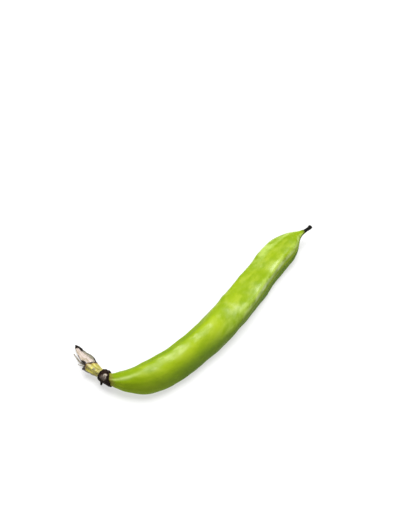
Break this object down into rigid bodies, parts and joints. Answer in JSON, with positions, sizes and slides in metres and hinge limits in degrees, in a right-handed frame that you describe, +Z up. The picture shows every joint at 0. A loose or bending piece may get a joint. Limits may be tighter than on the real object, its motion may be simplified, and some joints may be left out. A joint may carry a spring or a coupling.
{
  "type": "broad bean pod",
  "caption": "Curved green broad bean pod lying on its flat side, with low swellings over its beans, seamed edges, a dried calyx and style, and a ridged stalk with its torn heel.",
  "frame": {"origin": "on the surface the pod lies on, under the centre of its bounding box", "axes": "+X along the pod from its stalk end to its pointed tip, +Z up out of the surface, +Y to the side the neck and stalk bend to"},
  "size_m": [0.1835, 0.0679, 0.0184],
  "materials": {
    "pod": "satin",
    "style": "matte",
    "calyx": "matte",
    "stalk": "satin",
    "torn_heel": "matte"
  },
  "bodies": {
    "root": {"pod": "pod", "style": "style", "calyx": "calyx", "stalk": "stalk", "torn_heel": "torn_heel"}
  },
  "joints": []
}
